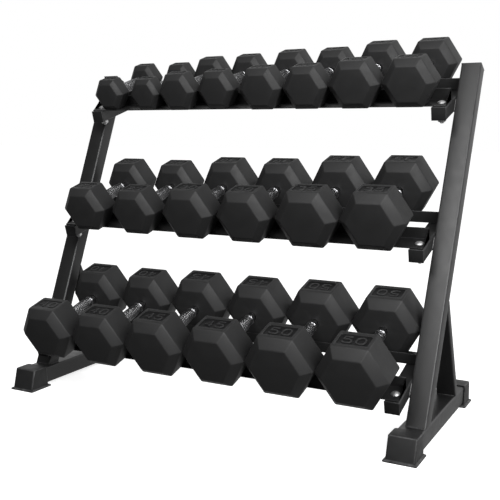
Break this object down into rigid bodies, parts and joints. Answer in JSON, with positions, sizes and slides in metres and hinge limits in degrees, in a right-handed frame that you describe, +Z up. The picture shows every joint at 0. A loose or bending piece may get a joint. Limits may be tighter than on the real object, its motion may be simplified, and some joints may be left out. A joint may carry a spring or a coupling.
{
  "type": "dumbbell rack",
  "caption": "Three-tier sloping dumbbell rack of black steel tube and angle rails, loaded with pairs of rubber hex dumbbells.",
  "frame": {"origin": "centre of the bounding box in plan, on the floor under the feet", "axes": "+X along the rails to the heavy end (the right-hand side frame), +Y to the back, +Z up; the user stands at -Y"},
  "size_m": [1.1368, 0.6154, 0.9354],
  "materials": {
    "black_powder_coat": "satin",
    "black_plastic": "matte",
    "zinc_steel": "satin",
    "black_rubber": "matte",
    "chromed_steel": "polished"
  },
  "bodies": {
    "rack": {"left_base_tube": "black_powder_coat", "right_base_tube": "black_powder_coat", "left_upright": "black_powder_coat", "right_upright": "black_powder_coat", "left_rear_brace": "black_powder_coat", "right_rear_brace": "black_powder_coat", "left_shelf_arms": "black_powder_coat", "right_shelf_arms": "black_powder_coat", "lower_front_rail": "black_powder_coat", "lower_rear_rail": "black_powder_coat", "middle_front_rail": "black_powder_coat", "middle_rear_rail": "black_powder_coat", "upper_front_rail": "black_powder_coat", "upper_rear_rail": "black_powder_coat", "foot_caps": "black_plastic", "upright_top_caps": "black_plastic", "arm_end_plugs": "black_plastic", "rail_bolts": "zinc_steel", "rail_washers": "zinc_steel", "rail_nuts": "zinc_steel"},
    "dumbbell_40_a": {"dumbbell_40_a_heads": "black_rubber", "dumbbell_40_a_handle": "chromed_steel"},
    "dumbbell_40_b": {"dumbbell_40_b_heads": "black_rubber", "dumbbell_40_b_handle": "chromed_steel"},
    "dumbbell_45_a": {"dumbbell_45_a_heads": "black_rubber", "dumbbell_45_a_handle": "chromed_steel"},
    "dumbbell_45_b": {"dumbbell_45_b_heads": "black_rubber", "dumbbell_45_b_handle": "chromed_steel"},
    "dumbbell_50_a": {"dumbbell_50_a_heads": "black_rubber", "dumbbell_50_a_handle": "chromed_steel"},
    "dumbbell_50_b": {"dumbbell_50_b_heads": "black_rubber", "dumbbell_50_b_handle": "chromed_steel"},
    "dumbbell_25_a": {"dumbbell_25_a_heads": "black_rubber", "dumbbell_25_a_handle": "chromed_steel"},
    "dumbbell_25_b": {"dumbbell_25_b_heads": "black_rubber", "dumbbell_25_b_handle": "chromed_steel"},
    "dumbbell_30_a": {"dumbbell_30_a_heads": "black_rubber", "dumbbell_30_a_handle": "chromed_steel"},
    "dumbbell_30_b": {"dumbbell_30_b_heads": "black_rubber", "dumbbell_30_b_handle": "chromed_steel"},
    "dumbbell_35_a": {"dumbbell_35_a_heads": "black_rubber", "dumbbell_35_a_handle": "chromed_steel"},
    "dumbbell_35_b": {"dumbbell_35_b_heads": "black_rubber", "dumbbell_35_b_handle": "chromed_steel"},
    "dumbbell_05_a": {"dumbbell_05_a_heads": "black_rubber", "dumbbell_05_a_handle": "chromed_steel"},
    "dumbbell_05_b": {"dumbbell_05_b_heads": "black_rubber", "dumbbell_05_b_handle": "chromed_steel"},
    "dumbbell_10_a": {"dumbbell_10_a_heads": "black_rubber", "dumbbell_10_a_handle": "chromed_steel"},
    "dumbbell_10_b": {"dumbbell_10_b_heads": "black_rubber", "dumbbell_10_b_handle": "chromed_steel"},
    "dumbbell_15_a": {"dumbbell_15_a_heads": "black_rubber", "dumbbell_15_a_handle": "chromed_steel"},
    "dumbbell_15_b": {"dumbbell_15_b_heads": "black_rubber", "dumbbell_15_b_handle": "chromed_steel"},
    "dumbbell_20_a": {"dumbbell_20_a_heads": "black_rubber", "dumbbell_20_a_handle": "chromed_steel"},
    "dumbbell_20_b": {"dumbbell_20_b_heads": "black_rubber", "dumbbell_20_b_handle": "chromed_steel"}
  },
  "joints": [
    {"name": "dumbbell_40_a_lift", "type": "slide", "parent": "rack", "child": "dumbbell_40_a", "axis": [0, -0.279, 0.9603], "range_m": [0, 0.09]},
    {"name": "dumbbell_40_b_lift", "type": "slide", "parent": "rack", "child": "dumbbell_40_b", "axis": [0, -0.279, 0.9603], "range_m": [0, 0.09]},
    {"name": "dumbbell_45_a_lift", "type": "slide", "parent": "rack", "child": "dumbbell_45_a", "axis": [0, -0.279, 0.9603], "range_m": [0, 0.09]},
    {"name": "dumbbell_45_b_lift", "type": "slide", "parent": "rack", "child": "dumbbell_45_b", "axis": [0, -0.279, 0.9603], "range_m": [0, 0.09]},
    {"name": "dumbbell_50_a_lift", "type": "slide", "parent": "rack", "child": "dumbbell_50_a", "axis": [0, -0.279, 0.9603], "range_m": [0, 0.09]},
    {"name": "dumbbell_50_b_lift", "type": "slide", "parent": "rack", "child": "dumbbell_50_b", "axis": [0, -0.279, 0.9603], "range_m": [0, 0.09]},
    {"name": "dumbbell_25_a_lift", "type": "slide", "parent": "rack", "child": "dumbbell_25_a", "axis": [0, -0.279, 0.9603], "range_m": [0, 0.12]},
    {"name": "dumbbell_25_b_lift", "type": "slide", "parent": "rack", "child": "dumbbell_25_b", "axis": [0, -0.279, 0.9603], "range_m": [0, 0.12]},
    {"name": "dumbbell_30_a_lift", "type": "slide", "parent": "rack", "child": "dumbbell_30_a", "axis": [0, -0.279, 0.9603], "range_m": [0, 0.12]},
    {"name": "dumbbell_30_b_lift", "type": "slide", "parent": "rack", "child": "dumbbell_30_b", "axis": [0, -0.279, 0.9603], "range_m": [0, 0.12]},
    {"name": "dumbbell_35_a_lift", "type": "slide", "parent": "rack", "child": "dumbbell_35_a", "axis": [0, -0.279, 0.9603], "range_m": [0, 0.12]},
    {"name": "dumbbell_35_b_lift", "type": "slide", "parent": "rack", "child": "dumbbell_35_b", "axis": [0, -0.279, 0.9603], "range_m": [0, 0.12]},
    {"name": "dumbbell_05_a_lift", "type": "slide", "parent": "rack", "child": "dumbbell_05_a", "axis": [0, -0.279, 0.9603], "range_m": [0, 0.2]},
    {"name": "dumbbell_05_b_lift", "type": "slide", "parent": "rack", "child": "dumbbell_05_b", "axis": [0, -0.279, 0.9603], "range_m": [0, 0.2]},
    {"name": "dumbbell_10_a_lift", "type": "slide", "parent": "rack", "child": "dumbbell_10_a", "axis": [0, -0.279, 0.9603], "range_m": [0, 0.2]},
    {"name": "dumbbell_10_b_lift", "type": "slide", "parent": "rack", "child": "dumbbell_10_b", "axis": [0, -0.279, 0.9603], "range_m": [0, 0.2]},
    {"name": "dumbbell_15_a_lift", "type": "slide", "parent": "rack", "child": "dumbbell_15_a", "axis": [0, -0.279, 0.9603], "range_m": [0, 0.2]},
    {"name": "dumbbell_15_b_lift", "type": "slide", "parent": "rack", "child": "dumbbell_15_b", "axis": [0, -0.279, 0.9603], "range_m": [0, 0.2]},
    {"name": "dumbbell_20_a_lift", "type": "slide", "parent": "rack", "child": "dumbbell_20_a", "axis": [0, -0.279, 0.9603], "range_m": [0, 0.2]},
    {"name": "dumbbell_20_b_lift", "type": "slide", "parent": "rack", "child": "dumbbell_20_b", "axis": [0, -0.279, 0.9603], "range_m": [0, 0.2]}
  ]
}
